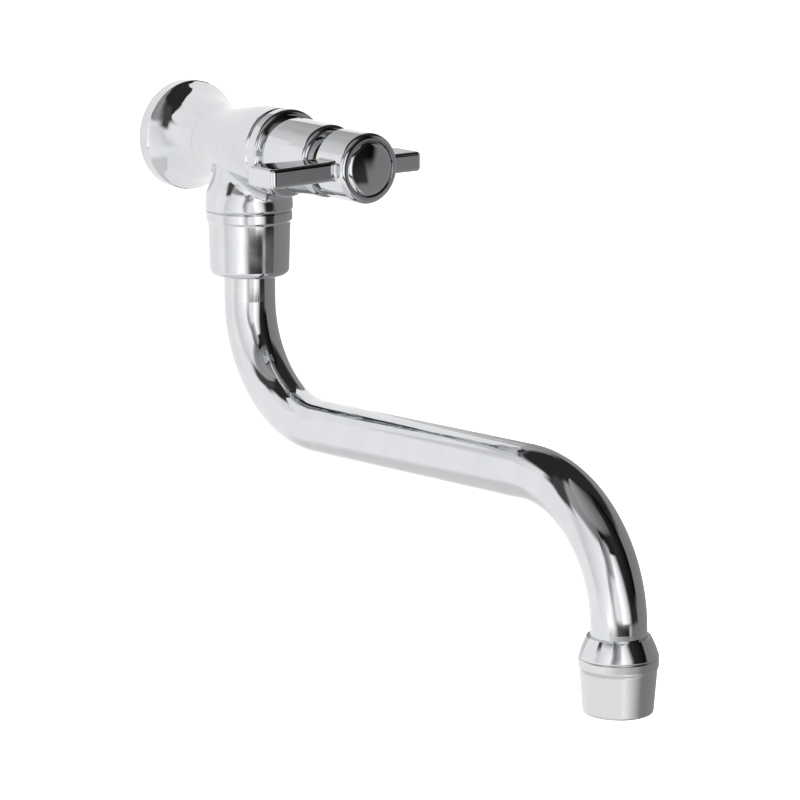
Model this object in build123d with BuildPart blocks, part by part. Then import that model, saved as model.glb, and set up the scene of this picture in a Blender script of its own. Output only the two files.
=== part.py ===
from build123d import *
import math
import os

# Wall-mounted kitchen tap: one cold or premixed inlet through the wall, a ceramic headwork
# with a two-winged handle in front, and a bent tube spout that swings below the body.
# Millimetres. The wall is the plane Y = 0 and the room is on the -Y side. The origin is the
# inlet's axis at the wall, +X is right for someone who faces the tap, and +Z is up.
# The head's pieces are turned about the inlet's axis, and a distance "out" is along -Y.

os.makedirs("parts", exist_ok=True)

# Driving dimensions
tube_r = 9.0  # 18 mm spout tube
tube_wall = 1.0
outlet_out = 39.4  # from the wall to the vertical axis that the spout turns about
reach = 195.6  # from that axis to the nozzle's axis
run_z = -89.95  # height of the tube's long run at half reach
run_rise = 2.2  # degrees by which the long run rises towards the nozzle
bend_near_r = 38.9
bend_far_r = 42.7
seam_z = -22.1  # joint between the body's outlet and the swivel nut
nut_end_z = -44.7
fitting_top_z = -132.5
fitting_seam_z = -139.25  # joint between the end fitting and the aerator
aerator_end_z = -157.3
thread_inlet_r = 10.48  # G1/2, outside of the thread
fit = 0.05  # radial play of a turned fit
gap = 0.3  # play between pieces that don't guide each other
slip = 0.1  # radial play of pieces dropped into a bore

# The head, along its own axis
tail_end = -9.0  # the inlet thread's end, inside the wall
neck_out = 22.5  # where the flange's neck meets the body
neck_r = 12.2
barrel_end = 58.6
barrel_r = 15.0
cover_end = 87.2
cover_r = 12.9
hub_back = 92.6
hub_front = 107.9
hub_r = 11.9
boss_r = 15.3

# Planes: local x is the distance out (or the radius), local y is up
head_plane = Plane(origin=(0, 0, 0), x_dir=(0, -1, 0), z_dir=(-1, 0, 0))
outlet_plane = Plane(origin=(0, -outlet_out, 0), x_dir=(0, -1, 0), z_dir=(-1, 0, 0))
nozzle_y = -(outlet_out + reach)
nozzle_plane = Plane(origin=(0, nozzle_y, 0), x_dir=(0, -1, 0), z_dir=(-1, 0, 0))
head_axis = Axis((0, 0, 0), (0, -1, 0))
outlet_axis = Axis((0, -outlet_out, 0), (0, 0, 1))
nozzle_axis = Axis((0, nozzle_y, 0), (0, 0, 1))


def head_section(out):
    """Plane across the head's axis, at a distance out from the wall."""
    return Plane(origin=(0, -out, 0), x_dir=(1, 0, 0), z_dir=(0, -1, 0))


def outlet_section(z):
    """Level plane on the spout's turning axis."""
    return Plane(origin=(0, -outlet_out, z))


def nozzle_section(z):
    """Level plane on the nozzle's axis."""
    return Plane(origin=(0, nozzle_y, z))


def finish(piece, name):
    """Labels a finished piece and writes its file."""
    piece.part.label = name
    export_step(piece.part, "parts/" + name + ".step")


# Body: inlet tail, barrel and outlet boss cast in one
inlet_bore_r = 7.0
seat_bore_r = 6.0
seat_out = 33.0
seat_land = 4.0
chamber_r = 9.9
chamber_end = 48.5
tail_chamfer = 1.2
tail_relief_out = 6.0  # undercut where the inlet thread ends, inside the flange
tail_relief_wide = 2.0
tail_relief_r = 9.4
tail_neck_r = 10.5
neck_slope = 0.2  # fall of the outline where the flange meets the body
barrel_edge = 0.5
ring_seat_r = 11.8  # counterbore for the headwork's o-ring
ring_seat_out = 57.0
waist_out = 27.5
waist_r = 11.75
rise_out = 36.0
rise_r = 12.85
swell_out = 46.0
swell_r = 14.5
boss_neck_z = -6.5
boss_neck_r = 12.0
boss_mid_z = -15.0
boss_mid_r = 14.5
boss_edge = 0.5
stub_r = 12.0  # male thread for the swivel nut
stub_end_z = -31.6
socket_r = 9.1  # bore that the spout's bush turns in
socket_top_z = -12.6
waterway_r = 6.5
body_blend = 3.0
blend_out_limit = 51.1

with BuildPart() as tap_body:
    with BuildSketch(head_plane):
        with BuildLine():
            Polyline(
                (neck_out, 0),
                (tail_end, 0),
                (tail_end, thread_inlet_r - tail_chamfer),
                (tail_end + tail_chamfer, thread_inlet_r),
                (tail_relief_out, thread_inlet_r),
                (tail_relief_out, tail_relief_r),
                (tail_relief_out + tail_relief_wide, tail_relief_r),
                (tail_relief_out + tail_relief_wide, tail_neck_r),
                (neck_out, tail_neck_r),
                (neck_out, neck_r),
            )
            Spline(
                (neck_out, neck_r),
                (waist_out, waist_r),
                (rise_out, rise_r),
                (swell_out, swell_r),
                (barrel_end - barrel_edge, barrel_r),
                tangents=[(1, -neck_slope), (1, 0)],
            )
            Polyline(
                (barrel_end - barrel_edge, barrel_r),
                (barrel_end, barrel_r - barrel_edge),
                (barrel_end, 0),
                (neck_out, 0),
            )
        make_face()
    revolve(axis=head_axis)
    with BuildSketch(outlet_plane):
        with BuildLine():
            Line((0, 0), (boss_neck_r, 0))
            Line((boss_neck_r, 0), (boss_neck_r, boss_neck_z))
            Spline(
                (boss_neck_r, boss_neck_z),
                (boss_mid_r, boss_mid_z),
                (boss_r, seam_z + boss_edge),
                tangents=[(0, -1), (0, -1)],
            )
            Polyline(
                (boss_r, seam_z + boss_edge),
                (boss_r - boss_edge, seam_z),
                (0, seam_z),
                (0, 0),
            )
        make_face()
    revolve(axis=outlet_axis)
    # Soft casting blend where the boss leaves the barrel
    joint = tap_body.edges().filter_by(GeomType.BSPLINE).filter_by_position(Axis.Z, boss_mid_z, 0)
    fillet(joint.filter_by_position(Axis.Y, -blend_out_limit, -neck_out), body_blend)
    # Stub that carries the swivel nut's thread
    with BuildSketch(outlet_section(seam_z)):
        Circle(stub_r)
    extrude(amount=stub_end_z - seam_z)
    # Inlet bore, seat, and the chamber that the headwork screws into
    with BuildSketch(head_section(tail_end)):
        Circle(inlet_bore_r)
    extrude(amount=seat_out - seat_land - tail_end, mode=Mode.SUBTRACT)
    with BuildSketch(head_section(seat_out - seat_land)):
        Circle(seat_bore_r)
    extrude(amount=seat_land, mode=Mode.SUBTRACT)
    with BuildSketch(head_section(seat_out)):
        Circle(chamber_r)
    extrude(amount=chamber_end - seat_out, mode=Mode.SUBTRACT)
    with BuildSketch(head_section(chamber_end)):
        Circle(thread_inlet_r)
    extrude(amount=barrel_end - chamber_end, mode=Mode.SUBTRACT)
    with BuildSketch(head_section(ring_seat_out)):
        Circle(ring_seat_r)
    extrude(amount=barrel_end - ring_seat_out, mode=Mode.SUBTRACT)
    # Outlet: a waterway down from the chamber, then the socket for the spout's bush
    with BuildSketch(outlet_section(0)):
        Circle(waterway_r)
    extrude(amount=stub_end_z, mode=Mode.SUBTRACT)
    with BuildSketch(outlet_section(socket_top_z)):
        Circle(socket_r)
    extrude(amount=stub_end_z - socket_top_z, mode=Mode.SUBTRACT)
finish(tap_body, "tap_body")

# Wall flange: a thin bell that slides on the tail and hides the hole in the wall
flange_r = 19.2
flange_back_round = 1.2
flange_edge = 0.3
flange_rim_out = 6.0  # front edge of the straight rim
flange_rim_slope = 0.8  # fall of the bell's outline just in front of the rim
bell_points = [(8.2, 17.5), (10.5, 16.2), (13.5, 14.95), (17.0, 13.75), (20.0, 12.85)]
flange_wall = 1.3
bell_inside = [(5.3, 17.6), (7.5, 16.2), (10.0, 14.9), (13.1, 13.65), (16.6, 12.45)]
flange_lip_r = 17.2  # inner edge of the flat rim that meets the wall
flange_lip_thick = 1.6
flange_bore_r = 10.6
flange_land_out = 17.6  # where the bore that slides on the tail begins

with BuildPart() as wall_flange:
    with BuildSketch(head_plane):
        with BuildLine():
            RadiusArc(
                (0, flange_r - flange_back_round),
                (flange_back_round, flange_r),
                flange_back_round,
            )
            Polyline(
                (flange_back_round, flange_r),
                (flange_rim_out - flange_edge, flange_r),
                (flange_rim_out, flange_r - flange_edge),
            )
            Spline(
                (flange_rim_out, flange_r - flange_edge),
                *bell_points,
                (neck_out - fit, neck_r),
                tangents=[(1, -flange_rim_slope), (1, -neck_slope)],
            )
            Polyline(
                (neck_out - fit, neck_r),
                (neck_out - fit, flange_bore_r),
                (flange_land_out, flange_bore_r),
                bell_inside[-1],
            )
            Spline(*bell_inside)
            Polyline(
                bell_inside[0],
                (flange_rim_out - flange_wall, flange_r - flange_wall),
                (flange_lip_thick, flange_r - flange_wall),
                (flange_lip_thick, flange_lip_r),
                (0, flange_lip_r),
                (0, flange_r - flange_back_round),
            )
        make_face()
    revolve(axis=head_axis)
finish(wall_flange, "wall_flange")

# Headwork cover: a base ring on the body's front, and a sleeve with a closed front over the headwork
ring_front = 63.8
ring_r = 15.1
ring_round = 1.6
cover_step = 0.6
cover_tip_r = 12.4
cover_tip_round = 2.0
cover_wall = 1.2
cover_front_thick = 1.4
cover_hole_r = 8.0  # hole in the cover's front for the handle's boss
cover_recess_r = 12.7
cover_recess_end = 61.4
web_out = 72.0
web_thick = 4.0
neck_thread_r = 8.0  # male thread on the headwork that the cover screws on

with BuildPart() as headwork_cover:
    with BuildSketch(head_plane):
        with BuildLine():
            Polyline(
                (barrel_end + fit, cover_recess_r),
                (barrel_end + fit, ring_r - cover_step),
                (barrel_end + fit + cover_step, ring_r),
                (ring_front - ring_round, ring_r),
            )
            RadiusArc(
                (ring_front - ring_round, ring_r),
                (ring_front, ring_r - ring_round),
                ring_round,
            )
            Polyline(
                (ring_front, ring_r - ring_round),
                (ring_front, cover_r),
                (cover_end - cover_tip_round, cover_tip_r),
            )
            RadiusArc(
                (cover_end - cover_tip_round, cover_tip_r),
                (cover_end, cover_tip_r - cover_tip_round),
                cover_tip_round,
            )
            Polyline(
                (cover_end, cover_tip_r - cover_tip_round),
                (cover_end, cover_hole_r),
                (cover_end - cover_front_thick, cover_hole_r),
                (cover_end - cover_front_thick, cover_tip_r - cover_tip_round),
                (cover_end - cover_tip_round, cover_tip_r - cover_wall),
                (web_out + web_thick, cover_r - cover_wall),
                (web_out + web_thick, neck_thread_r + fit),
                (web_out, neck_thread_r + fit),
                (web_out, cover_r - cover_wall),
                (cover_recess_end, cover_r - cover_wall),
                (cover_recess_end, cover_recess_r),
                (barrel_end + fit, cover_recess_r),
            )
        make_face()
    revolve(axis=head_axis)
finish(headwork_cover, "headwork_cover")

# Headwork housing: threaded barrel with two side windows, hexagon, and nose
housing_back = 34.2
cage_r = 8.9
cage_bore_r = 7.7
cage_ceiling = 47.6
stem_r = 4.9
stem_bore_r = stem_r + fit
housing_thread_r = thread_inlet_r - fit
relief_r = 9.9
housing_flange_r = 12.3
housing_flange_thick = 2.2
hex_flats = 17.0
hex_end = 69.0
nose_r = 7.0
nose_out = 79.0
nose_end = 86.0
window_out = 42.4
window_long = 4.6
window_high = 9.0

with BuildPart() as headwork_housing:
    with BuildSketch(head_plane):
        with BuildLine():
            Polyline(
                (housing_back, cage_bore_r),
                (housing_back, cage_r),
                (chamber_end + gap, cage_r),
                (chamber_end + gap, housing_thread_r),
                (ring_seat_out, housing_thread_r),
                (ring_seat_out, relief_r),
                (barrel_end, relief_r),
                (barrel_end, housing_flange_r),
                (barrel_end + housing_flange_thick, housing_flange_r),
                (barrel_end + housing_flange_thick, neck_thread_r),
                (nose_out, neck_thread_r),
                (nose_out, nose_r),
                (nose_end, nose_r),
                (nose_end, stem_bore_r),
                (cage_ceiling, stem_bore_r),
                (cage_ceiling, cage_bore_r),
                (housing_back, cage_bore_r),
            )
        make_face()
    revolve(axis=head_axis)
    with BuildSketch(head_section(barrel_end + housing_flange_thick)):
        RegularPolygon(hex_flats / 2, 6, major_radius=False)
        Circle(stem_bore_r, mode=Mode.SUBTRACT)
    extrude(amount=hex_end - barrel_end - housing_flange_thick)
    with BuildSketch(head_section(window_out)):
        Rectangle(window_high, 2 * chamber_r)
        Circle(cage_bore_r - fit, mode=Mode.SUBTRACT)
    extrude(amount=window_long, mode=Mode.SUBTRACT)
finish(headwork_housing, "headwork_housing")

# O-ring under the housing's flange
head_ring_section = 0.76
head_ring_r = (relief_r + ring_seat_r) / 2

with BuildPart() as headwork_o_ring:
    with BuildSketch(head_plane):
        with Locations(((ring_seat_out + barrel_end) / 2, head_ring_r)):
            Circle(head_ring_section)
    revolve(axis=head_axis)
finish(headwork_o_ring, "headwork_o_ring")

# Ceramic headwork inside the housing: seat seal, fixed disc, moving disc, spindle, washer
disc_r = cage_bore_r - slip
seal_r = cage_bore_r - slip
seal_hole_r = 5.4
fixed_back = 36.0
disc_thick = 2.6
disc_play = 0.02
moving_back = fixed_back + disc_thick + disc_play
port_inner_r = 1.6
port_outer_r = 6.0
port_arc = 80.0  # degrees

with BuildPart() as seat_seal:
    with BuildSketch(head_section(seat_out)):
        Circle(seal_r)
        Circle(seal_hole_r, mode=Mode.SUBTRACT)
    extrude(amount=fixed_back - seat_out)
finish(seat_seal, "seat_seal")


with BuildSketch() as port:
    with BuildLine():
        port_inner = CenterArc((0, 0), port_inner_r, -port_arc / 2, port_arc)
        port_outer = CenterArc((0, 0), port_outer_r, -port_arc / 2, port_arc)
        Line(port_inner @ 0, port_outer @ 0)
        Line(port_inner @ 1, port_outer @ 1)
    make_face()

with BuildPart() as fixed_disc:
    with BuildSketch(head_section(fixed_back)):
        Circle(disc_r)
        for angle in (0, 180):
            add(port.sketch, rotation=angle, mode=Mode.SUBTRACT)
    extrude(amount=disc_thick)
finish(fixed_disc, "fixed_disc")

# At rest the tap is shut, so the moving disc's ports stand a quarter turn from the fixed ones
notch_wide = 3.0
notch_deep = 1.4
with BuildPart() as moving_disc:
    with BuildSketch(head_section(moving_back)):
        Circle(disc_r)
        for angle in (90, 270):
            add(port.sketch, rotation=angle, mode=Mode.SUBTRACT)
        with Locations((disc_r, 0), (-disc_r, 0)):
            Rectangle(2 * notch_deep, notch_wide, mode=Mode.SUBTRACT)
    extrude(amount=disc_thick)
finish(moving_disc, "moving_disc")

# Spindle: a two-dogged foot, a stem with two seal grooves, and a splined end
foot_back = moving_back + disc_thick + disc_play
foot_thick = 4.6
foot_r = cage_bore_r - slip
dog_long = 1.6
dog_play = 0.1
dog_end_play = 0.15
dog_wide = notch_wide - 2 * dog_play
dog_deep = notch_deep - dog_end_play
washer_thick = 0.7
spline_r = 4.0
spline_start = 89.0
spline_end = 100.6
spline_teeth = 20
spline_depth = 0.5
groove_out = (52.0, 57.5)
groove_wide = 2.0
groove_depth = 1.5
clip_out = 86.2
clip_thick = 1.0
clip_depth = 0.7
screw_hole_r = 2.0
screw_hole_deep = 9.0
foot_channel_r = 5.6
foot_channel_deep = 3.4
foot_channel_wide = 7.8
ring_squeeze = 0.01  # how much a seal's section is drawn below its groove

with BuildPart() as spindle:
    with BuildSketch(head_plane):
        with BuildLine():
            Polyline((foot_back, 0), (foot_back, foot_r), (foot_back + foot_thick, foot_r))
            Polyline(
                (foot_back + foot_thick, foot_r),
                (foot_back + foot_thick, stem_r),
                (spline_start, stem_r),
                (spline_start, spline_r),
                (spline_end, spline_r),
                (spline_end, 0),
                (foot_back, 0),
            )
        make_face()
    revolve(axis=head_axis)
    for out in groove_out:
        with BuildSketch(head_section(out)):
            Circle(stem_r + fit)
            Circle(stem_r - groove_depth, mode=Mode.SUBTRACT)
        extrude(amount=groove_wide, mode=Mode.SUBTRACT)
    with BuildSketch(head_section(clip_out - fit)):
        Circle(stem_r + fit)
        Circle(stem_r - clip_depth, mode=Mode.SUBTRACT)
    extrude(amount=clip_thick + 2 * fit, mode=Mode.SUBTRACT)
    # Dogs that drive the moving disc, and the hollow that lets the water out to the sides
    with BuildSketch(head_section(foot_back)):
        with Locations((disc_r - notch_deep / 2, 0), (notch_deep / 2 - disc_r, 0)):
            Rectangle(dog_deep, dog_wide)
    extrude(amount=-dog_long)
    with BuildSketch(head_section(foot_back)):
        Circle(foot_channel_r)
        Rectangle(foot_channel_wide, 2 * foot_r + gap)
    extrude(amount=foot_channel_deep, mode=Mode.SUBTRACT)
    # Spline grooves and the tapped hole for the handle's screw
    with BuildSketch(head_section(spline_start)):
        with PolarLocations(spline_r, spline_teeth):
            Rectangle(2 * spline_depth, math.pi * spline_r / spline_teeth)
    extrude(amount=spline_end - spline_start, mode=Mode.SUBTRACT)
    with BuildSketch(head_section(spline_end)):
        Circle(screw_hole_r)
    extrude(amount=-screw_hole_deep, mode=Mode.SUBTRACT)
finish(spindle, "spindle")

with BuildPart() as thrust_washer:
    with BuildSketch(head_section(foot_back + foot_thick + fit)):
        Circle(foot_r)
        Circle(stem_r + fit, mode=Mode.SUBTRACT)
    extrude(amount=washer_thick)
finish(thrust_washer, "thrust_washer")

stem_ring_section = groove_depth / 2
with BuildPart() as spindle_o_rings:
    for out in groove_out:
        with BuildSketch(head_plane):
            with Locations((out + groove_wide / 2, stem_r - groove_depth / 2)):
                Circle(stem_ring_section - ring_squeeze)
        revolve(axis=head_axis)
finish(spindle_o_rings, "spindle_o_rings")

clip_r = 6.2
with BuildPart() as spindle_circlip:
    with BuildSketch(head_section(clip_out)):
        Circle(clip_r)
        Circle(stem_r - clip_depth + fit, mode=Mode.SUBTRACT)
        with Locations((0, clip_r)):
            Rectangle(stem_r, clip_r, mode=Mode.SUBTRACT)
    extrude(amount=clip_thick)
finish(spindle_circlip, "spindle_circlip")

# Handle: a hub on the spline with a long wing and a short wing
wing_front = 104.3
wing_tip_deep = 16.0
wing_root_deep = 9.6
wing_thick = 6.6
long_droop = 1.0  # degrees below level
short_droop = 0.3
long_tip = 37.7
short_tip = 24.8
wing_overlap = 1.0  # how far the wings' roots reach into the hub
tip_front_round = 1.8
tip_back_round = 3.0
wing_edge = 1.2
hub_edge = 0.7
rim_width = 1.7
wing_blend = 0.8
hub_boss_r = 7.6
hub_boss_back = 88.4
cap_seat_out = 104.2
cap_seat_r = 9.6
screw_seat_out = 101.4
screw_seat_r = 4.6
wing_back = wing_front - wing_tip_deep
wing_root = wing_front - wing_root_deep


def on_hub(edge):
    """True for an edge that runs on the hub's surface at the side of a wing."""
    spots = [edge @ 0, edge @ 0.5, edge @ 1]
    far = [abs(math.hypot(spot.X, spot.Z) - hub_r) for spot in spots]
    return max(far) < fit and min(abs(spot.X) for spot in spots) > hub_r / 2


with BuildPart() as handle:
    for side, tip, droop in ((-1, long_tip, long_droop), (1, short_tip, short_droop)):
        with BuildPart(mode=Mode.PRIVATE) as wing:
            with BuildSketch(Plane.XY.rotated((0, side * droop, 0))):
                with BuildLine():
                    Polyline(
                        (0, -wing_front),
                        (side * tip, -wing_front),
                        (side * tip, -wing_back),
                        (side * (hub_r - wing_overlap), -wing_root),
                        (0, -wing_root),
                        (0, -wing_front),
                    )
                make_face()
                tip_corners = vertices().filter_by(lambda v: abs(v.X) > hub_r)
                fillet(tip_corners.sort_by(Axis.Y)[0], tip_front_round)
                tip_corners = vertices().filter_by(lambda v: abs(v.X) > hub_r)
                fillet(tip_corners.sort_by(Axis.Y)[-1], tip_back_round)
            extrude(amount=wing_thick / 2, both=True)
            fillet(wing.faces().sort_by(Axis.Z)[-1].edges(), wing_edge)
            fillet(wing.faces().sort_by(Axis.Z)[0].edges(), wing_edge)
        add(wing.part)
    with BuildSketch(head_plane):
        with BuildLine():
            Polyline(
                (hub_boss_back, 0),
                (hub_boss_back, hub_boss_r),
                (hub_back, hub_boss_r),
                (hub_back, hub_r - hub_edge),
                (hub_back + hub_edge, hub_r),
                (hub_front - rim_width, hub_r),
            )
            RadiusArc(
                (hub_front - rim_width, hub_r),
                (hub_front, hub_r - rim_width),
                rim_width,
            )
            Polyline((hub_front, hub_r - rim_width), (hub_front, 0), (hub_boss_back, 0))
        make_face()
    revolve(axis=head_axis)
    # Small casting blend where the wings leave the hub
    roots = handle.edges().filter_by(on_hub)
    fillet(roots, wing_blend)
    with BuildSketch(head_section(hub_boss_back)):
        Circle(stem_r + gap)
    extrude(amount=spline_start + gap - hub_boss_back, mode=Mode.SUBTRACT)
    with BuildSketch(head_section(hub_boss_back)):
        Circle(spline_r + fit)
    extrude(amount=spline_end + fit - hub_boss_back, mode=Mode.SUBTRACT)
    with BuildSketch(head_section(spline_end)):
        Circle(screw_hole_r + gap)
    extrude(amount=screw_seat_out - spline_end, mode=Mode.SUBTRACT)
    with BuildSketch(head_section(screw_seat_out)):
        Circle(screw_seat_r)
    extrude(amount=cap_seat_out - screw_seat_out, mode=Mode.SUBTRACT)
    with BuildSketch(head_section(cap_seat_out)):
        Circle(cap_seat_r)
    extrude(amount=hub_front - cap_seat_out, mode=Mode.SUBTRACT)
finish(handle, "handle")

# Screw that holds the handle on the spindle
screw_head_r = 3.6
screw_head_thick = 2.3
screw_r = 1.95
screw_end = 93.0
screw_hex_r = 1.45
screw_hex_deep = 1.4

with BuildPart() as handle_screw:
    with BuildSketch(head_section(screw_end)):
        Circle(screw_r)
    extrude(amount=screw_seat_out - screw_end)
    with BuildSketch(head_section(screw_seat_out)):
        Circle(screw_head_r)
    extrude(amount=screw_head_thick)
    with BuildSketch(head_section(screw_seat_out + screw_head_thick)):
        RegularPolygon(screw_hex_r, 6)
    extrude(amount=-screw_hex_deep, mode=Mode.SUBTRACT)
finish(handle_screw, "handle_screw")

# Index cap, bare, with a gently domed face inside a wide rounded edge, pressed into the hub's front
cap_r = 9.5
cap_back = 104.25
cap_side_out = 107.1
cap_edge_mid = (108.0, 8.58)
cap_face_out = 108.4
cap_face_r = 7.3
cap_crown = 108.87
cap_face_rise = 0.13  # slope of the face at its edge

with BuildPart() as index_cap:
    with BuildSketch(head_plane):
        with BuildLine():
            Polyline((cap_back, 0), (cap_back, cap_r), (cap_side_out, cap_r))
            ThreePointArc((cap_side_out, cap_r), cap_edge_mid, (cap_face_out, cap_face_r))
            Spline(
                (cap_face_out, cap_face_r),
                (cap_crown, 0),
                tangents=[(cap_face_rise, -1), (0, -1)],
            )
            Line((cap_crown, 0), (cap_back, 0))
        make_face()
    revolve(axis=head_axis)
finish(index_cap, "index_cap")

# Swivel nut: screws on the body's stub and holds the spout's bush from below
nut_band_r = 15.05
nut_band_low = -25.2
nut_step_low = -26.2
nut_waist_r = 14.4
nut_low_r = 13.9
nut_round = 2.2
nut_thread_end_z = -32.4
nut_cavity_r = 11.6
nut_lip_z = -42.0
nut_hole_r = tube_r + gap
nut_edge = 0.3
nut_step_turn = (-0.4, -1)  # direction of the outline at the band's lower edge

with BuildPart() as swivel_nut:
    with BuildSketch(outlet_plane):
        with BuildLine():
            Polyline(
                (stub_r + fit, seam_z - fit),
                (nut_band_r - nut_edge, seam_z - fit),
                (nut_band_r, seam_z - fit - nut_edge),
                (nut_band_r, nut_band_low),
            )
            Spline(
                (nut_band_r, nut_band_low),
                (nut_waist_r, nut_step_low),
                tangents=[nut_step_turn, (0, -1)],
            )
            Line((nut_waist_r, nut_step_low), (nut_low_r, nut_end_z + nut_round))
            RadiusArc(
                (nut_low_r, nut_end_z + nut_round),
                (nut_low_r - nut_round, nut_end_z),
                nut_round,
            )
            Polyline(
                (nut_low_r - nut_round, nut_end_z),
                (nut_hole_r, nut_end_z),
                (nut_hole_r, nut_lip_z),
                (nut_cavity_r, nut_lip_z),
                (nut_cavity_r, nut_thread_end_z),
                (stub_r + fit, nut_thread_end_z),
                (stub_r + fit, seam_z - fit),
            )
        make_face()
    revolve(axis=outlet_axis)
finish(swivel_nut, "swivel_nut")

# Bush on the tube's top: turns in the body's socket, and rests on the slip ring in the nut
bush_top_z = -13.4
bush_r = socket_r - fit
bush_flange_r = 11.3
bush_flange_z = -32.2
bush_end_z = -40.2
tube_top_z = -33.0
bush_bore_r = 6.6
bush_groove_z = (-19.0, -26.0)
bush_groove_high = 2.2
bush_groove_depth = 1.6

with BuildPart() as spout_bush:
    with BuildSketch(outlet_plane):
        with BuildLine():
            Polyline(
                (bush_bore_r, bush_top_z),
                (bush_r, bush_top_z),
                (bush_r, bush_flange_z),
                (bush_flange_r, bush_flange_z),
                (bush_flange_r, bush_end_z),
                (tube_r + fit, bush_end_z),
                (tube_r + fit, tube_top_z),
                (bush_bore_r, tube_top_z),
                (bush_bore_r, bush_top_z),
            )
        make_face()
    revolve(axis=outlet_axis)
    for z in bush_groove_z:
        with BuildSketch(outlet_section(z)):
            Circle(bush_r + fit)
            Circle(bush_r - bush_groove_depth, mode=Mode.SUBTRACT)
        extrude(amount=bush_groove_high, mode=Mode.SUBTRACT)
finish(spout_bush, "spout_bush")

bush_ring_section = bush_groove_depth / 2
with BuildPart() as spout_o_rings:
    for z in bush_groove_z:
        with BuildSketch(outlet_plane):
            with Locations((bush_r - bush_groove_depth / 2, z + bush_groove_high / 2)):
                Circle(bush_ring_section - ring_squeeze)
        revolve(axis=outlet_axis)
finish(spout_o_rings, "spout_o_rings")

with BuildPart() as slip_ring:
    with BuildSketch(outlet_section(nut_lip_z + fit)):
        Circle(bush_flange_r)
        Circle(nut_hole_r, mode=Mode.SUBTRACT)
    extrude(amount=bush_end_z - nut_lip_z - 2 * fit)
finish(slip_ring, "slip_ring")

# Spout tube: down from the bush, out along the gently rising run, and down to the nozzle
rise = math.radians(run_rise)
near_end_x = bend_near_r * (1 + math.sin(rise))
near_end_z = run_z + math.tan(rise) * (near_end_x - reach / 2)
near_start_z = near_end_z + bend_near_r * math.cos(rise)
far_start_x = reach - bend_far_r * (1 + math.sin(rise))
far_start_z = run_z + math.tan(rise) * (far_start_x - reach / 2)
far_end_z = far_start_z - bend_far_r * math.cos(rise)
tube_end_z = -139.0

with BuildPart() as spout_tube:
    with BuildLine(outlet_plane) as spout_route:
        Line((0, tube_top_z), (0, near_start_z))
        RadiusArc((0, near_start_z), (near_end_x, near_end_z), -bend_near_r)
        Line((near_end_x, near_end_z), (far_start_x, far_start_z))
        RadiusArc((far_start_x, far_start_z), (reach, far_end_z), bend_far_r)
        Line((reach, far_end_z), (reach, tube_end_z))
    with BuildSketch(outlet_section(tube_top_z)):
        Circle(tube_r)
        Circle(tube_r - tube_wall, mode=Mode.SUBTRACT)
    sweep(path=spout_route.wires()[0])
finish(spout_tube, "spout_tube")

# End fitting: bevelled shoulder over the tube's end, and the male thread for the aerator
fitting_ledge_r = 10.2
shoulder_mid_r = 11.55
shoulder_mid_z = -135.35
fitting_r = 12.75
fitting_band = 0.65
fitting_edge = 0.25
aerator_thread_r = 11.0
spigot_end_z = -147.6
fitting_bore_r = 8.0

with BuildPart() as nozzle_fitting:
    with BuildSketch(nozzle_plane):
        with BuildLine():
            Line((tube_r + fit, fitting_top_z), (fitting_ledge_r, fitting_top_z))
            ThreePointArc(
                (fitting_ledge_r, fitting_top_z),
                (shoulder_mid_r, shoulder_mid_z),
                (fitting_r, fitting_seam_z + fitting_band),
            )
            Polyline(
                (fitting_r, fitting_seam_z + fitting_band),
                (fitting_r, fitting_seam_z + fitting_edge),
                (fitting_r - fitting_edge, fitting_seam_z),
                (aerator_thread_r, fitting_seam_z),
                (aerator_thread_r, spigot_end_z),
                (fitting_bore_r, spigot_end_z),
                (fitting_bore_r, tube_end_z - fit),
                (tube_r + fit, tube_end_z - fit),
                (tube_r + fit, fitting_top_z),
            )
        make_face()
    revolve(axis=nozzle_axis)
finish(nozzle_fitting, "nozzle_fitting")

# Aerator: satin housing screwed on the fitting, with gasket, strainer, insert and screens
housing_band_z = -141.9
housing_taper_z = -143.5
housing_taper_r = 12.3
housing_low_r = 11.3
housing_round = 0.9
housing_ledge_z = -151.2
housing_bore_r = 10.0
gasket_thick = 1.2
strainer_thick = 0.8
strainer_r = 10.3
strainer_hole_r = 0.7
strainer_rings = ((0, 1), (2.4, 6), (4.8, 12))  # radius of each ring of holes, and how many
insert_flange_thick = 1.4
insert_flange_r = 10.8
insert_r = housing_bore_r - slip
insert_bore_r = 8.9
insert_end_z = -156.2
gasket_z = spigot_end_z - fit
strainer_z = gasket_z - gasket_thick - fit
insert_top_z = strainer_z - strainer_thick - fit

with BuildPart() as aerator_housing:
    with BuildSketch(nozzle_plane):
        with BuildLine():
            Polyline(
                (aerator_thread_r + fit, fitting_seam_z - fit),
                (fitting_r - fitting_edge, fitting_seam_z - fit),
                (fitting_r, fitting_seam_z - fit - fitting_edge),
                (fitting_r, housing_band_z),
            )
            Spline(
                (fitting_r, housing_band_z),
                (housing_taper_r, housing_taper_z),
                tangents=[(0, -1), (housing_low_r - housing_taper_r, aerator_end_z - housing_taper_z)],
            )
            Line((housing_taper_r, housing_taper_z), (housing_low_r, aerator_end_z + housing_round))
            RadiusArc(
                (housing_low_r, aerator_end_z + housing_round),
                (housing_low_r - housing_round, aerator_end_z),
                housing_round,
            )
            Polyline(
                (housing_low_r - housing_round, aerator_end_z),
                (housing_bore_r, aerator_end_z),
                (housing_bore_r, housing_ledge_z),
                (aerator_thread_r + fit, housing_ledge_z),
                (aerator_thread_r + fit, fitting_seam_z - fit),
            )
        make_face()
    revolve(axis=nozzle_axis)
finish(aerator_housing, "aerator_housing")

with BuildPart() as aerator_gasket:
    with BuildSketch(nozzle_section(gasket_z)):
        Circle(aerator_thread_r - slip)
        Circle(fitting_bore_r, mode=Mode.SUBTRACT)
    extrude(amount=-gasket_thick)
finish(aerator_gasket, "aerator_gasket")

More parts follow.
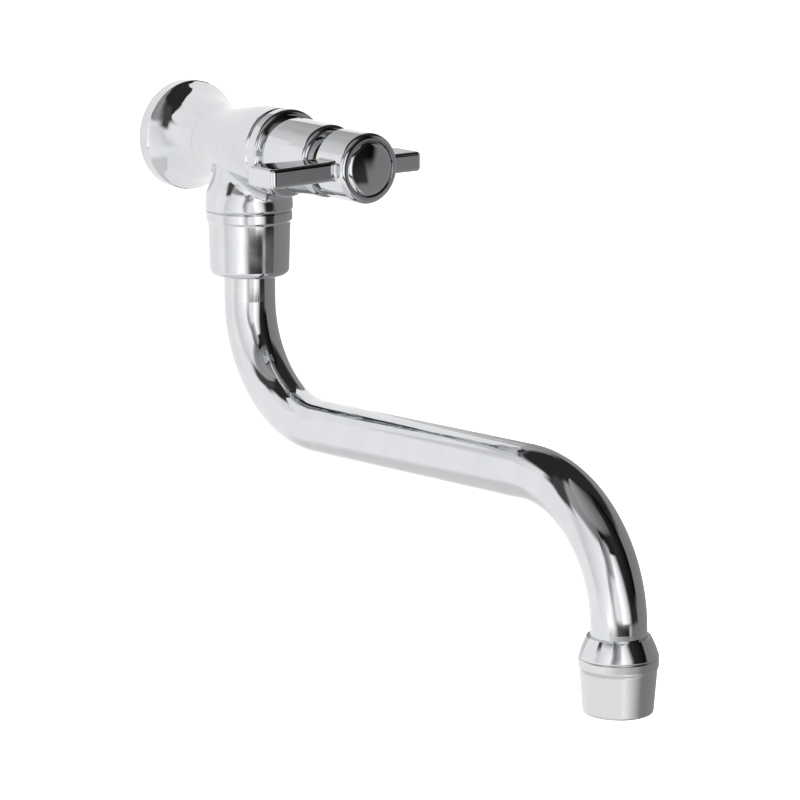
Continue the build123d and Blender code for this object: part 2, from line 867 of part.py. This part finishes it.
with BuildPart() as aerator_strainer:
    with BuildSketch(nozzle_section(strainer_z)):
        Circle(strainer_r)
        for ring_radius, count in strainer_rings:
            with PolarLocations(ring_radius, count):
                Circle(strainer_hole_r, mode=Mode.SUBTRACT)
    extrude(amount=-strainer_thick)
finish(aerator_strainer, "aerator_strainer")

grid_ring_r = (3.0, 6.0)
grid_rib = 0.7
grid_high = 1.6
grid_bars = 3
with BuildPart() as aerator_insert:
    with BuildSketch(nozzle_section(insert_top_z)):
        Circle(insert_flange_r)
        Circle(insert_bore_r, mode=Mode.SUBTRACT)
    extrude(amount=-insert_flange_thick)
    with BuildSketch(nozzle_section(insert_top_z - insert_flange_thick)):
        Circle(insert_r)
        Circle(insert_bore_r, mode=Mode.SUBTRACT)
    extrude(amount=insert_end_z - insert_top_z + insert_flange_thick)
    with BuildSketch(nozzle_section(insert_end_z)):
        for ring_radius in grid_ring_r:
            Circle(ring_radius + grid_rib / 2)
            Circle(ring_radius - grid_rib / 2, mode=Mode.SUBTRACT)
        with PolarLocations(0, grid_bars):
            Rectangle(2 * insert_bore_r + grid_rib, grid_rib)
    extrude(amount=grid_high)
finish(aerator_insert, "aerator_insert")

screen_r = insert_bore_r - slip
screen_thick = 0.3
screen_z = (-152.2, -153.6)
with BuildPart() as aerator_screens:
    for z in screen_z:
        with BuildSketch(nozzle_section(z)):
            Circle(screen_r)
        extrude(amount=-screen_thick)
finish(aerator_screens, "aerator_screens")

print("spout bends", bend_near_r, bend_far_r, "tube volume", round(spout_tube.part.volume, 1))
tube_section = math.pi * (tube_r**2 - (tube_r - tube_wall) ** 2)
print("section times length", round(tube_section * spout_route.wires()[0].length, 1))
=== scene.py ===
import bpy, bmesh, math
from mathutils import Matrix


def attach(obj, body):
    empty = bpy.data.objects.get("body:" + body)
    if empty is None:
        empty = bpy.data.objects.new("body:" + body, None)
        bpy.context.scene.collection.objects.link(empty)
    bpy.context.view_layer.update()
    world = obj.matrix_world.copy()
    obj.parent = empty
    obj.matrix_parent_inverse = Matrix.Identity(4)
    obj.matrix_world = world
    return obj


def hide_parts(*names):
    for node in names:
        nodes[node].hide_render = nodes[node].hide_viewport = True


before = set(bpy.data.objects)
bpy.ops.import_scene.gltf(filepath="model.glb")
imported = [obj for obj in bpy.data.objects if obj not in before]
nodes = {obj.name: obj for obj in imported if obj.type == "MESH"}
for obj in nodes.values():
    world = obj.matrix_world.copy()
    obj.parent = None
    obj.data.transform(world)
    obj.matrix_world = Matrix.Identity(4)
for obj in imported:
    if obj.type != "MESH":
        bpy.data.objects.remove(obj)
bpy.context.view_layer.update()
mm = 0.001
print("frame loaded:", len(nodes), "nodes")


def toLinear(hexColour):
    # sRGB hex to the linear colour that shaders take
    parts = [int(hexColour[i:i + 2], 16) / 255 for i in (1, 3, 5)]
    linear = [c / 12.92 if c <= 0.04045 else ((c + 0.055) / 1.055) ** 2.4 for c in parts]
    return (*linear, 1)


def addNode(tree, kind, settings=None, inputs=None):
    # one node with its settings, and its inputs as plain values or as links from other nodes' sockets
    node = tree.nodes.new(kind)
    for key, value in (settings or {}).items():
        setattr(node, key, value)
    for key, value in (inputs or {}).items():
        if isinstance(value, bpy.types.NodeSocket):
            tree.links.new(value, node.inputs[key])
        else:
            node.inputs[key].default_value = value
    return node


def startMaterial(name):
    mat = bpy.data.materials.new(name)
    mat.use_nodes = True
    mat.node_tree.nodes.clear()
    return mat, mat.node_tree


def endMaterial(mat, tree, shader):
    addNode(tree, "ShaderNodeOutputMaterial", None, {"Surface": shader.outputs[0]})
    return mat


def objectPlace(tree):
    # Object coordinates, in metres
    return addNode(tree, "ShaderNodeTexCoord").outputs["Object"]


# the camera stands where the photographer stood: a little above the tap and to its left, with a long lens
cameraValues = {
    "place": (-0.79876, -1.14232, 0.19751),  # metres
    "yaw": 38.106,  # degrees to the right of straight at the wall
    "pitch": 11.913,  # degrees down
    "sensor": 36,  # mm wide
    "lens": 179.21,  # mm
    "farthest": 60,  # metres, past the floor's far edge
}


def addCamera(values):
    data = bpy.data.cameras.new("productCamera")
    data.sensor_fit = "HORIZONTAL"
    data.sensor_width = values["sensor"]
    data.lens = values["lens"]
    data.clip_end = values["farthest"]
    cam = bpy.data.objects.new("productCamera", data)
    cam.location = values["place"]
    cam.rotation_euler = (math.radians(90 - values["pitch"]), 0, math.radians(-values["yaw"]))
    bpy.context.scene.collection.objects.link(cam)
    bpy.context.scene.camera = cam


addCamera(cameraValues)
bpy.context.scene.view_settings.view_transform = "Standard"
print("camera placed")

# the studio: a round pale tent about the tap, with bright windows and grey and dark cloths hung in it
# each cloth has its turn, rise, lean, light and soft, and covers those above it in the list
# turn is degrees to the left of straight out from the wall, as seen from the tap, and rise is degrees up
# lean is the turn that a cloth gains per degree of rise
# light is how bright its right and left edges are, with white paper as 1
# soft is how many degrees its sides and its ends take to fade
tentValues = {
    "middle": (0, -0.1, -0.06),  # metres
    "radius": 0.799,  # metres
    "segments": 96,
    "rings": 48,
    "power": 1.47,  # what white paper gives off
    "plain": 0.747,  # light of the bare tent
    "cloths": {
        "greyFloor": ((-180, 180), (-95, -36), 0, (0.55, 0.55), (12, 12)),
        "greyRight": ((-145, -12), (-80, 52), -0.3, (0.25, 0.15), (12, 7)),
        "tableTop": ((-8, 41), (-48, -18), 0.7, (0.2, 0.9), (6, 6)),
        "tableEdge": ((7, 84), (-18, -11), 0.8, (0, 0.15), (12, 5)),
        "blackCeiling": ((-180, 180), (32, 110), 0, (0.02, 0.02), (12, 12)),
        "ceilingLeft": ((14, 90), (29, 71), 0.1, (0.05, 0.3), (12, 12)),
        "ceilingFront": ((-80, 52), (42, 110), 0.4, (0, 0.3), (12, 12)),
        "darkLeft": ((90, 106), (19, 62), 0.1, (0.05, 0.05), (6, 12)),
        "blackFront": ((-30, 20), (-12, 42), 0.5, (0.03, 0), (3, 4)),
        "blackRight": ((-39, -2), (-2, 65), -0.2, (0, 0.02), (6, 12)),
        "windowFront": ((-4, 23), (-11, 28), 0.4, (0.45, 1.25), (12, 2)),
        "screenLeft": ((42, 61), (-16, 34), -0.4, (0.65, 0), (4, 8)),
        "windowLeft": ((50, 86), (-16, 10), 0.8, (0.3, 1.8), (12, 6)),
        "paleLeft": ((59, 108), (-15, 22), -0.5, (0.9, 0.55), (12, 12)),
        "greyBehind": ((-193, -137), (-9, 33), -0.2, (0.5, 0.5), (8, 10)),
        "stripBehind": ((116, 233), (27, 45), 0, (0.75, 0.2), (12, 10)),
        "greyCorner": ((30, 49), (12, 33), -0.2, (0.5, 0.1), (10, 6)),
    },
}


def tentMaterial(values):
    # white tent cloth lit from outside, which glows, with the studio's cloths laid over one another
    mat, tree = startMaterial("tentClothLit")
    xyz = addNode(tree, "ShaderNodeSeparateXYZ", None, {0: objectPlace(tree)})

    def calc(operation, *inputs):
        return addNode(tree, "ShaderNodeMath", {"operation": operation}, dict(enumerate(inputs))).outputs[0]

    def ramp(value, start, end, low, high, kind="LINEAR"):
        return addNode(tree, "ShaderNodeMapRange", {"interpolation_type": kind}, {
            "Value": value, "From Min": start, "From Max": end, "To Min": low, "To Max": high}).outputs[0]

    def between(value, low, high, soft):
        # 1 from low to high, with a soft edge across each
        fadeIn = ramp(value, low - soft / 2, low + soft / 2, 0, 1, "SMOOTHSTEP")
        fadeOut = ramp(value, high - soft / 2, high + soft / 2, 1, 0, "SMOOTHSTEP")
        return calc("MULTIPLY", fadeIn, fadeOut)

    left = calc("MULTIPLY", xyz.outputs["X"], -1)
    outward = calc("MULTIPLY", xyz.outputs["Y"], -1)
    turnHere = calc("DEGREES", calc("ARCTAN2", left, outward))
    riseHere = calc("DEGREES", calc("ARCSINE", calc("DIVIDE", xyz.outputs["Z"], values["radius"])))
    glow = values["plain"]
    for name, (turn, rise, lean, light, soft) in values["cloths"].items():
        half = (turn[1] - turn[0]) / 2
        middle = calc("MULTIPLY_ADD", riseHere, lean, sum(turn) / 2)
        away = calc("WRAP", calc("SUBTRACT", turnHere, middle), -180, 180)
        mask = between(riseHere, *rise, soft[1])
        if half < 180:
            mask = calc("MULTIPLY", mask, between(away, -half, half, soft[0]))
        shade = ramp(away, -half, half, *light)
        cover = addNode(tree, "ShaderNodeMix", {"data_type": "FLOAT", "label": name}, {
            0: mask, 2: glow, 3: shade})
        glow = cover.outputs[0]
    lit = addNode(tree, "ShaderNodeEmission", None, {"Strength": calc("MULTIPLY", glow, values["power"])})
    mat.cycles.emission_sampling = "NONE"
    return endMaterial(mat, tree, lit)


def onlyReflected(obj):
    # the plating mirrors it, but it neither hides the tap nor shades the floor
    obj.visible_camera = False
    obj.visible_diffuse = False
    obj.visible_shadow = False


def addTent(values):
    bpy.ops.object.select_all(action="DESELECT")
    bpy.ops.mesh.primitive_uv_sphere_add(segments=values["segments"], ring_count=values["rings"],
                                         radius=values["radius"], location=values["middle"])
    tent = bpy.context.object
    tent.name = "studioTent"
    tent.data.materials.append(tentMaterial(values))
    onlyReflected(tent)


addTent(tentValues)
print("tent put up:", len(tentValues["cloths"]), "cloths")

skyValues = {"seen": "#ffffff", "around": "#dedede", "power": 1.47}


def addSky(values):
    # white behind the tap, and an even light over the floor
    world = bpy.data.worlds.new("studioLight")
    bpy.context.scene.world = world
    world.use_nodes = True
    tree = world.node_tree
    tree.nodes.clear()
    around = addNode(tree, "ShaderNodeBackground", None, {
        "Color": toLinear(values["around"]), "Strength": values["power"]})
    seen = addNode(tree, "ShaderNodeBackground", None, {"Color": toLinear(values["seen"]), "Strength": 1})
    isSeen = addNode(tree, "ShaderNodeLightPath").outputs["Is Camera Ray"]
    both = addNode(tree, "ShaderNodeMixShader", None, {0: isSeen, 1: around.outputs[0], 2: seen.outputs[0]})
    addNode(tree, "ShaderNodeOutputWorld", None, {"Surface": both.outputs[0]})


addSky(skyValues)
print("studio lit")

floorValues = {
    "height": -0.62,  # metres
    "size": 24,  # metres
    "colour": "#f4f3f1",
    "matt": 0.9,
    "glow": 0.8,  # keeps it white, as a lit sweep is
}


def addFloor(values):
    # matt white paint, which gives no mirror image
    bpy.ops.object.select_all(action="DESELECT")
    bpy.ops.mesh.primitive_plane_add(size=values["size"], location=(0, 0, values["height"]))
    floor = bpy.context.object
    floor.name = "paleFloor"
    mat, tree = startMaterial("paintedFloorMatt")
    paint = addNode(tree, "ShaderNodeBsdfPrincipled", None, {
        "Base Color": toLinear(values["colour"]), "Roughness": values["matt"],
        "Emission Color": toLinear(values["colour"]), "Emission Strength": values["glow"]})
    floor.data.materials.append(endMaterial(mat, tree, paint))
    floor.visible_glossy = False


addFloor(floorValues)
print("floor laid")

boardValues = {
    "sides": (-0.0591, 0.0888),  # metres
    "ends": (-0.09, 0.054),  # metres
    "out": 0.001,  # metres behind the flange's rim
    "colour": "#dbdbdb",
    "power": 1.47,
}


def addBoard(values):
    # white card where the wall would be, which lights the flange's bell from behind
    bpy.ops.object.select_all(action="DESELECT")
    left, right = values["sides"]
    low, high = values["ends"]
    bpy.ops.mesh.primitive_plane_add(size=1, location=((left + right) / 2, values["out"], (low + high) / 2),
                                     rotation=(math.radians(90), 0, 0))
    board = bpy.context.object
    board.name = "whiteBoard"
    board.dimensions = (right - left, high - low, 0)
    mat, tree = startMaterial("cardWhiteMatt")
    lit = addNode(tree, "ShaderNodeEmission", None, {
        "Color": toLinear(values["colour"]), "Strength": values["power"]})
    board.data.materials.append(endMaterial(mat, tree, lit))
    onlyReflected(board)


addBoard(boardValues)
print("board placed")


# the tap's materials; each pattern's scale is worked out from a real size in millimetres
noiseSpan = (0.3, 0.7)  # nearly all of a noise texture's factor lies in this


def perMetre(sizeMm):
    return 1 / (sizeMm * mm)


def mottled(tree, place, sizeMm, low, high, detail=3, stretch=(1, 1, 1)):
    # noise of that real size, as a factor from low to high
    mapped = addNode(tree, "ShaderNodeMapping", None, {"Vector": place, "Scale": stretch}).outputs[0]
    noise = addNode(tree, "ShaderNodeTexNoise", None, {
        "Vector": mapped, "Scale": perMetre(sizeMm), "Detail": detail})
    return addNode(tree, "ShaderNodeMapRange", None, {
        "Value": noise.outputs["Fac"], "From Min": noiseSpan[0], "From Max": noiseSpan[1],
        "To Min": low, "To Max": high}).outputs[0]


def twoTone(tree, place, values, detail=3, stretch=(1, 1, 1)):
    # a base colour and a roughness that wander between two values, over patches of the pattern's real size
    shade = mottled(tree, place, values["patternMm"], 0, 1, detail, stretch)
    colour = addNode(tree, "ShaderNodeMix", {"data_type": "RGBA"}, {
        0: shade, 6: toLinear(values["dark"]), 7: toLinear(values["light"])}).outputs[2]
    rough = mottled(tree, place, values["patternMm"], *values["gloss"], stretch=stretch)
    return {"Base Color": colour, "Roughness": rough}


def surfaceOf(mat, tree, inputs):
    return endMaterial(mat, tree, addNode(tree, "ShaderNodeBsdfPrincipled", None, inputs))


polishedValues = {
    "light": "#d9dadc", "dark": "#d2d4d7",  # bluish white of plated chrome
    "gloss": (0.028, 0.05),  # from freshly buffed to a little hazed
    "patternMm": 9, "waveMm": 14, "wave": 0.012,
}


def polishedChrome(values):
    # brass, cast or drawn, buffed and plated: mirror bright, with the faint waves that hand buffing leaves
    mat, tree = startMaterial("chromePlateBuffed")
    place = objectPlace(tree)
    wave = addNode(tree, "ShaderNodeTexNoise", None, {
        "Vector": place, "Scale": perMetre(values["waveMm"]), "Detail": 1}).outputs["Fac"]
    bump = addNode(tree, "ShaderNodeBump", None, {
        "Height": wave, "Strength": values["wave"], "Distance": values["waveMm"] * mm}).outputs[0]
    return surfaceOf(mat, tree, {**twoTone(tree, place, values), "Metallic": 1, "Normal": bump})


satinValues = {"light": "#dadada", "dark": "#d0d0d1", "gloss": (0.17, 0.21), "patternMm": 0.4}


def satinChrome(values):
    # brass blasted with fine glass beads before plating: an even, silky grey
    mat, tree = startMaterial("chromePlateBeadBlasted")
    grain = twoTone(tree, objectPlace(tree), values, detail=2)
    return surfaceOf(mat, tree, {**grain, "Metallic": 1})


brassValues = {
    "light": "#d8b878", "dark": "#b8924e", "gloss": (0.22, 0.36),
    "patternMm": 0.25, "along": (0.08, 1, 0.08),  # tool lines, drawn out round the barrel
}


def turnedBrass(values):
    # free-cutting brass straight from the lathe: warm yellow with fine tool lines
    mat, tree = startMaterial("brassTurned")
    lines = twoTone(tree, objectPlace(tree), values, detail=2, stretch=values["along"])
    return surfaceOf(mat, tree, {**lines, "Metallic": 1})


steelValues = {"light": "#c9c7c2", "dark": "#a9a7a3", "gloss": (0.2, 0.34), "patternMm": 0.3}


def stainlessSteel(values):
    # drawn stainless steel wire and bar: cool grey, slightly dull
    mat, tree = startMaterial("stainlessSteelDrawn")
    return surfaceOf(mat, tree, {**twoTone(tree, objectPlace(tree), values), "Metallic": 1})


rubberValues = {"light": "#2b2b2a", "dark": "#191918", "gloss": (0.5, 0.68), "patternMm": 0.4, "ior": 1.52}


def nitrileRubber(values):
    # moulded nitrile seals: near black, with a dull bloom
    mat, tree = startMaterial("nitrileRubberMoulded")
    return surfaceOf(mat, tree, {**twoTone(tree, objectPlace(tree), values), "IOR": values["ior"]})


acetalValues = {"light": "#ecebe6", "dark": "#dddbd4", "gloss": (0.32, 0.45), "patternMm": 2.5, "ior": 1.48}


def mouldedAcetal(values):
    # injection moulded acetal: milky white with a soft sheen
    mat, tree = startMaterial("acetalMoulded")
    return surfaceOf(mat, tree, {**twoTone(tree, objectPlace(tree), values), "IOR": values["ior"]})


ceramicValues = {"light": "#efece2", "dark": "#e2ded0", "gloss": (0.1, 0.18), "patternMm": 1.5, "ior": 1.76}


def lappedCeramic(values):
    # alumina discs lapped flat: ivory white and glassy
    mat, tree = startMaterial("aluminaLapped")
    return surfaceOf(mat, tree, {**twoTone(tree, objectPlace(tree), values), "IOR": values["ior"]})


finishes = {
    "polished_chrome": polishedChrome(polishedValues),
    "satin_chrome": satinChrome(satinValues),
    "brass": turnedBrass(brassValues),
    "stainless_steel": stainlessSteel(steelValues),
    "rubber": nitrileRubber(rubberValues),
    "acetal": mouldedAcetal(acetalValues),
    "ceramic": lappedCeramic(ceramicValues),
}
pieceFinish = {
    "polished_chrome": ["tap_body", "wall_flange", "headwork_cover", "swivel_nut",
                        "handle", "index_cap", "spout_tube", "nozzle_fitting"],
    "satin_chrome": ["aerator_housing"],
    "brass": ["headwork_housing", "spindle", "spout_bush"],
    "stainless_steel": ["handle_screw", "spindle_circlip", "aerator_screens"],
    "rubber": ["headwork_o_ring", "seat_seal", "spindle_o_rings", "spout_o_rings", "aerator_gasket"],
    "acetal": ["slip_ring", "thrust_washer", "aerator_strainer", "aerator_insert"],
    "ceramic": ["fixed_disc", "moving_disc"],
}
for slotName, names in pieceFinish.items():
    for name in names:
        nodes[name].data.materials.clear()
        nodes[name].data.materials.append(finishes[slotName])
print("finishes given to", sum(len(names) for names in pieceFinish.values()), "nodes")

# the 1/2 inch pipe thread on the inlet tail, in mm and as radii
threadValues = {
    "pitch": 1.814, "turns": 6.5, "start": -5.2,
    "crest": 10.48, "crestWide": 0.36, "root": 9.42, "rootWide": 1.46,
    "undercut": -6.05,  # the body's undercut, where the thread's length begins
    "chamferMid": 9.5, "chamferEdge": 10.4, "chamferRoot": 9.35,  # the tail's outer end
    "mergeUnder": 0.001,
    "steps": 96,  # per turn
    "smoothUnder": 25,  # degrees
}


def cutTail(body, values):
    # turns the tail of this copy of the body down to the thread's root
    bpy.context.view_layer.objects.active = body
    body.select_set(True)
    bpy.ops.object.mode_set(mode="EDIT")
    bpy.ops.mesh.select_all(action="SELECT")
    bpy.ops.mesh.remove_doubles(threshold=values["mergeUnder"] * mm)
    cuts = (
        (values["chamferEdge"], math.inf, values["root"]),
        (values["chamferMid"], values["chamferEdge"], values["chamferRoot"]),
    )
    for low, high, target in cuts:
        bpy.ops.mesh.select_all(action="DESELECT")
        bm = bmesh.from_edit_mesh(body.data)
        radii = []
        for v in bm.verts:
            radius = math.hypot(v.co.x, v.co.z) / mm
            if v.co.y > values["undercut"] * mm and low < radius < high:
                v.select = True
                radii.append(radius)
        bm.select_flush(True)
        bmesh.update_edit_mesh(body.data)
        if radii:
            share = target / max(radii)
            bpy.ops.transform.resize(value=(share, 1, share), center_override=(0, 0, 0))
    bpy.ops.object.mode_set(mode="OBJECT")


def threadRidge(values):
    # one ridge of the thread, from a square drawn in to a trapezium and wound along the tail
    bpy.ops.object.select_all(action="DESELECT")
    deep = values["crest"] - values["chamferRoot"]
    corner = math.sqrt(0.5) * mm  # from the middle, on a square with sides of 1 mm
    bpy.ops.mesh.primitive_circle_add(vertices=4, radius=corner, rotation=(0, 0, math.radians(45)))
    ridge = bpy.context.object
    bpy.ops.object.transform_apply(location=False, rotation=True, scale=False)
    bpy.ops.object.mode_set(mode="EDIT")
    bpy.ops.transform.resize(value=(deep, values["rootWide"], 1), center_override=(0, 0, 0))
    bpy.ops.mesh.select_all(action="DESELECT")
    bm = bmesh.from_edit_mesh(ridge.data)
    for v in bm.verts:
        v.select = v.co.x > 0
    bm.select_flush(True)
    bmesh.update_edit_mesh(ridge.data)
    drawnIn = values["crestWide"] / values["rootWide"]
    bpy.ops.transform.resize(value=(1, drawnIn, 1), center_override=(0, 0, 0))
    bpy.ops.mesh.select_all(action="SELECT")
    fromAxis = values["crest"] - deep / 2
    fromWall = values["start"] + values["rootWide"] / 2
    bpy.ops.transform.translate(value=(fromAxis * mm, fromWall * mm, 0))
    bpy.ops.object.mode_set(mode="OBJECT")
    wind = ridge.modifiers.new("wind", "SCREW")
    wind.axis = "Y"
    wind.angle = math.tau * values["turns"]
    wind.screw_offset = values["pitch"] * values["turns"] * mm
    wind.steps = wind.render_steps = int(values["steps"] * values["turns"])
    bpy.ops.object.modifier_apply(modifier="wind")
    bpy.ops.object.mode_set(mode="EDIT")
    bpy.ops.mesh.select_all(action="SELECT")
    bpy.ops.mesh.fill_holes(sides=4)
    bpy.ops.mesh.select_all(action="SELECT")
    bpy.ops.mesh.normals_make_consistent(inside=False)
    bpy.ops.object.mode_set(mode="OBJECT")
    bpy.ops.object.shade_smooth_by_angle(angle=math.radians(values["smoothUnder"]))
    return ridge


def addThread(values):
    bpy.ops.object.select_all(action="DESELECT")
    cadBody = nodes["tap_body"]
    body = cadBody.copy()
    body.data = cadBody.data.copy()
    body.name = "threadedBody"
    bpy.context.scene.collection.objects.link(body)
    cutTail(body, values)
    ridge = threadRidge(values)
    ridge.data.materials.append(finishes["polished_chrome"])
    bpy.ops.object.select_all(action="DESELECT")
    ridge.select_set(True)
    body.select_set(True)
    bpy.context.view_layer.objects.active = body
    bpy.ops.object.join()
    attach(body, "fixed_body")
    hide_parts("tap_body")
    print("inlet thread cut:", len(body.data.polygons), "faces")


addThread(threadValues)
